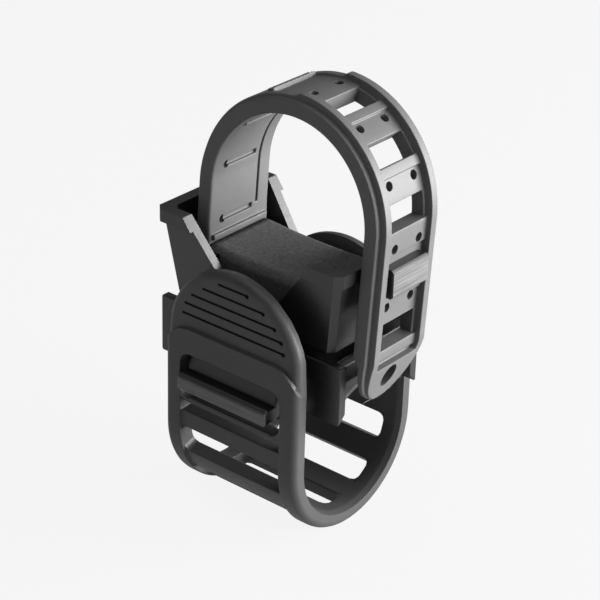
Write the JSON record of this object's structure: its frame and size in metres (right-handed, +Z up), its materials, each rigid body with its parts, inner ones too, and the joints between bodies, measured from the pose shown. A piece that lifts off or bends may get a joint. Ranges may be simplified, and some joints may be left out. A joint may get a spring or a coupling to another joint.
{
  "type": "handlebar mount",
  "caption": "Handlebar mount: a saddle held round the bar by a wide ladder strap, and a turning padded cradle whose narrow ladder strap holds a round device.",
  "frame": {"origin": "on the axis of the clamp bore, under the middle of the mount", "axes": "+X along the clamp bore's axis, towards the strap's hook and tail; +Y across it, away from the long front tongue; +Z up, from the bore towards the cradle"},
  "size_m": [0.0436, 0.034, 0.076],
  "materials": {
    "shell_plastic": "gloss",
    "inner_plastic": "matte",
    "strap_rubber": "matte",
    "pad_rubber": "matte",
    "bush_plastic": "matte",
    "steel": "brushed"
  },
  "bodies": {
    "lower_half": {"saddle_shell": "shell_plastic", "saddle_liner": "pad_rubber", "friction_disc": "bush_plastic", "swivel_bush": "bush_plastic", "wave_washer": "steel", "flat_washer": "steel", "swivel_screw": "steel", "lock_nut": "steel"},
    "upper_half": {"cradle_shell": "shell_plastic", "cradle_floor": "inner_plastic", "floor_screws": "steel", "cradle_pad": "pad_rubber"},
    "upper_loop": {"upper_strap": "strap_rubber"},
    "lower_loop": {"lower_strap": "strap_rubber"}
  },
  "joints": [
    {"name": "swivel", "type": "hinge", "parent": "lower_half", "child": "upper_half", "pos_m": [0, 0, 0.0209], "axis": [0, 0, 1], "range_deg": [-12, 12]},
    {"name": "upper_strap_swing", "type": "hinge", "parent": "upper_half", "child": "upper_loop", "pos_m": [-0.0132, 0, 0.0345], "axis": [0, -1, 0], "range_deg": [0, 75], "deforming": ["upper_strap"]},
    {"name": "lower_strap_swing", "type": "hinge", "parent": "lower_half", "child": "lower_loop", "pos_m": [0, 0.0142, 0.0094], "axis": [1, 0, 0], "range_deg": [0, 80], "deforming": ["lower_strap"]}
  ]
}
